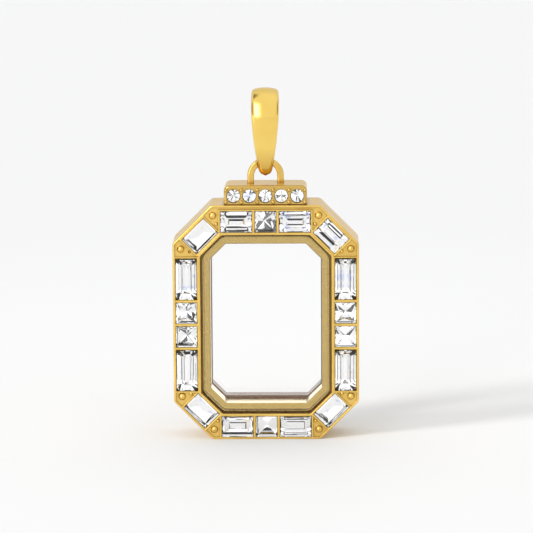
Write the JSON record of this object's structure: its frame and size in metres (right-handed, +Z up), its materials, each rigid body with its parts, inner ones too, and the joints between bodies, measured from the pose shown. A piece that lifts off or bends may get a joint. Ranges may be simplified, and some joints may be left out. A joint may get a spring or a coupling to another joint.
{
  "type": "floating locket",
  "caption": "Octagonal floating locket with a stone-set front frame, a raised stone bar, glass panes front and back, a hinged back half and a tapered bail.",
  "frame": {"origin": "inside top of the bail, on its middle plane, where the chain bears and the pendant hangs", "axes": "+Z up, -Y towards the viewer of the stone-set front, +X to that viewer's right; the chain runs along X"},
  "size_m": [0.027, 0.0084, 0.0513],
  "materials": {
    "satin_gold": "gold-plated cast alloy, satin with bright edges",
    "polished_gold": "gold-plated alloy, polished",
    "window_glass": "clear flat glass",
    "crystal": "clear step-cut crystal, foiled behind"
  },
  "bodies": {
    "bail": {"bail": "polished_gold"},
    "front": {"front_case": "satin_gold", "front_glass": "window_glass", "hinge_pin": "satin_gold", "stone_top_1": "crystal", "stone_top_2": "crystal", "stone_top_3": "crystal", "stone_bottom_1": "crystal", "stone_bottom_2": "crystal", "stone_bottom_3": "crystal", "stone_left_1": "crystal", "stone_left_2": "crystal", "stone_left_3": "crystal", "stone_left_4": "crystal", "stone_right_1": "crystal", "stone_right_2": "crystal", "stone_right_3": "crystal", "stone_right_4": "crystal", "stone_upper_left": "crystal", "stone_upper_right": "crystal", "stone_lower_left": "crystal", "stone_lower_right": "crystal", "bar_stone_1": "crystal", "bar_stone_2": "crystal", "bar_stone_3": "crystal", "bar_stone_4": "crystal", "bar_stone_5": "crystal"},
    "back": {"back_case": "satin_gold", "back_glass": "window_glass"}
  },
  "joints": [
    {"name": "bail_swing", "type": "hinge", "parent": "bail", "child": "front", "pos_m": [0, 0, -0.00954], "axis": [1, 0, 0], "range_deg": [-92, 88]},
    {"name": "back_hinge", "type": "hinge", "parent": "front", "child": "back", "pos_m": [-0.01255, 0.00111, -0.03285], "axis": [0, 0, 1], "range_deg": [0, 90]}
  ]
}
